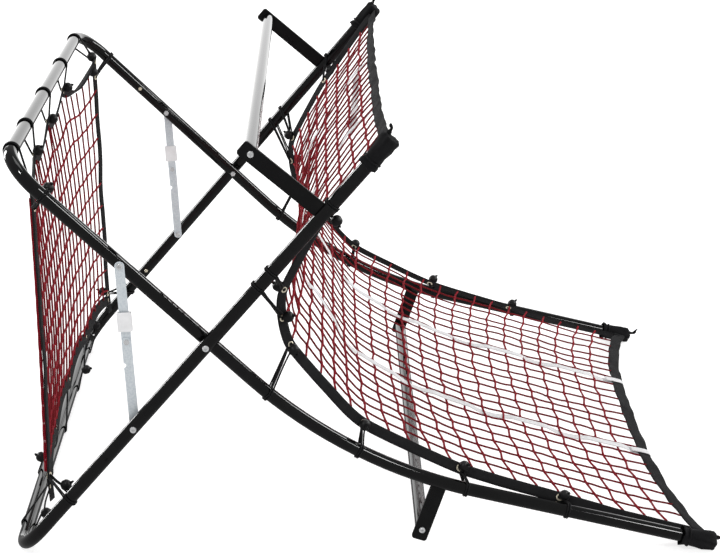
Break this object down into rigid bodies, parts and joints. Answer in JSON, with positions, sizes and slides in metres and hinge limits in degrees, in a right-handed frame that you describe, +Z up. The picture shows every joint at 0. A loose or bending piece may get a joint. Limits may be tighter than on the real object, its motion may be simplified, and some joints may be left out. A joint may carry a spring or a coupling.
{
  "type": "pitch back rebounder",
  "caption": "Folding ball rebounder: two crossed U-shaped tube frames that carry a flat net at one end and a curved return net at the other, with locking side braces and stand bars.",
  "frame": {"origin": "on the ground, under the middle of the whole object's length and width", "axes": "+Z up, +X along the object from the closed end of the frames towards the ends of the curved rails, +Y across it from the near side to the far side"},
  "size_m": [1.3472, 1.147, 0.8434],
  "materials": {
    "black_tube": "glossy black powder coat",
    "black_steel": "satin black powder coat on flat steel",
    "galvanised": "galvanised flat steel",
    "zinc_bolt": "bright zinc plated",
    "steel_inside": "plain steel",
    "white_plastic": "moulded white plastic",
    "black_plastic": "moulded black plastic",
    "brass": "brass",
    "elastic_cord": "black braided elastic cord with moulded balls",
    "net_cord": "dark red knotless netting cord",
    "black_webbing": "black woven webbing",
    "black_cloth": "black woven cloth",
    "white_webbing": "white woven tape"
  },
  "bodies": {
    "outer_frame": {"outer_end_loop": "black_tube", "outer_rail_near": "black_tube", "outer_rail_far": "black_tube", "outer_joint_sleeves": "steel_inside", "outer_joint_rivets": "black_steel", "outer_button_springs": "steel_inside", "pivot_bolts": "zinc_bolt", "pivot_nuts": "zinc_bolt", "pivot_spacers": "black_plastic", "brace_lower_bolts": "zinc_bolt", "upper_stand_arm_near": "black_steel", "upper_stand_arm_far": "black_steel", "upper_stand_bar": "black_tube", "upper_stand_plugs": "black_plastic", "upper_stand_bolts": "zinc_bolt", "outer_end_plugs": "black_plastic", "outer_net_pockets": "black_cloth", "return_net_upper_band": "black_webbing", "return_outer_ball_cords": "elastic_cord", "front_lower_ball_cords": "elastic_cord", "front_net": "net_cord", "front_net_border": "black_webbing", "front_net_eyelets": "brass", "return_net": "net_cord", "return_net_side_bands": "black_webbing", "return_net_eyelets": "brass", "strike_strap_near": "white_webbing", "strike_strap_far": "white_webbing"},
    "inner_frame": {"inner_end_loop": "black_tube", "inner_rail_near": "black_tube", "inner_rail_far": "black_tube", "inner_joint_sleeves": "steel_inside", "inner_joint_rivets": "black_steel", "inner_button_springs": "steel_inside", "brace_upper_bolts": "zinc_bolt", "lower_stand_arm_near": "black_steel", "lower_stand_arm_far": "black_steel", "lower_stand_bar": "black_tube", "lower_stand_plugs": "black_plastic", "lower_stand_bolts": "zinc_bolt", "inner_end_plugs": "black_plastic", "inner_net_pockets": "black_cloth", "return_net_lower_band": "black_webbing", "return_inner_ball_cords": "elastic_cord", "front_upper_ball_cords": "elastic_cord"},
    "brace_upper_near": {"brace_upper_strap_near": "galvanised", "brace_rivet_near": "zinc_bolt"},
    "brace_lower_near": {"brace_lower_strap_near": "galvanised", "brace_foot_nut_near": "zinc_bolt"},
    "slider_near": {"brace_slider_near": "white_plastic"},
    "outer_button_near": {"outer_snap_button_near": "brass"},
    "inner_button_near": {"inner_snap_button_near": "brass"},
    "brace_upper_far": {"brace_upper_strap_far": "galvanised", "brace_rivet_far": "zinc_bolt"},
    "brace_lower_far": {"brace_lower_strap_far": "galvanised", "brace_foot_nut_far": "zinc_bolt"},
    "slider_far": {"brace_slider_far": "white_plastic"},
    "outer_button_far": {"outer_snap_button_far": "brass"},
    "inner_button_far": {"inner_snap_button_far": "brass"}
  },
  "joints": [
    {"name": "frame_fold", "type": "hinge", "parent": "outer_frame", "child": "inner_frame", "pos_m": [-0.28745, 0, 0.4418], "axis": [0, -1, 0], "range_deg": [0, 68], "deforming": ["front_net", "front_net_border", "front_net_eyelets", "front_upper_ball_cords", "front_lower_ball_cords", "return_net", "return_net_side_bands", "return_net_eyelets", "return_inner_ball_cords", "return_outer_ball_cords", "return_net_upper_band", "return_net_lower_band", "strike_strap_near", "strike_strap_far"]},
    {"name": "brace_upper_turn_near", "type": "hinge", "parent": "inner_frame", "child": "brace_upper_near", "pos_m": [-0.44073, -0.5417, 0.59243], "axis": [0, -1, 0], "range_deg": [-115.9, 0]},
    {"name": "brace_lower_turn_near", "type": "hinge", "parent": "brace_upper_near", "child": "brace_lower_near", "pos_m": [-0.43407, -0.5417, 0.44497], "axis": [0, -1, 0], "range_deg": [0, 145]},
    {"name": "brace_slider_slide_near", "type": "slide", "parent": "brace_upper_near", "child": "slider_near", "axis": [-0.0452, 0, 0.999], "range_m": [0, 0.0201]},
    {"name": "brace_upper_turn_far", "type": "hinge", "parent": "inner_frame", "child": "brace_upper_far", "pos_m": [-0.44073, 0.5417, 0.59243], "axis": [0, -1, 0], "range_deg": [-115.9, 0]},
    {"name": "brace_lower_turn_far", "type": "hinge", "parent": "brace_upper_far", "child": "brace_lower_far", "pos_m": [-0.43407, 0.5417, 0.44497], "axis": [0, -1, 0], "range_deg": [0, 145]},
    {"name": "brace_slider_slide_far", "type": "slide", "parent": "brace_upper_far", "child": "slider_far", "axis": [-0.0452, 0, 0.999], "range_m": [0, 0.0201]},
    {"name": "inner_button_press_near", "type": "slide", "parent": "inner_frame", "child": "inner_button_near", "axis": [0, -1, 0], "range_m": [0, 0.003], "stiffness_N_per_m": 700, "springref_m": -0.002},
    {"name": "inner_button_press_far", "type": "slide", "parent": "inner_frame", "child": "inner_button_far", "axis": [0, 1, 0], "range_m": [0, 0.003], "stiffness_N_per_m": 700, "springref_m": -0.002},
    {"name": "outer_button_press_near", "type": "slide", "parent": "outer_frame", "child": "outer_button_near", "axis": [0, -1, 0], "range_m": [0, 0.003], "stiffness_N_per_m": 700, "springref_m": -0.002},
    {"name": "outer_button_press_far", "type": "slide", "parent": "outer_frame", "child": "outer_button_far", "axis": [0, 1, 0], "range_m": [0, 0.003], "stiffness_N_per_m": 700, "springref_m": -0.002}
  ],
  "couplings": [
    {"joint": "brace_upper_turn_near", "follows": "frame_fold", "ratio": -1.7036},
    {"joint": "brace_lower_turn_near", "follows": "frame_fold", "ratio": 2.1317},
    {"joint": "brace_slider_slide_near", "follows": "frame_fold", "m_per_rad": 0.016852},
    {"joint": "brace_upper_turn_far", "follows": "frame_fold", "ratio": -1.7036},
    {"joint": "brace_lower_turn_far", "follows": "frame_fold", "ratio": 2.1317},
    {"joint": "brace_slider_slide_far", "follows": "frame_fold", "m_per_rad": 0.016852}
  ]
}
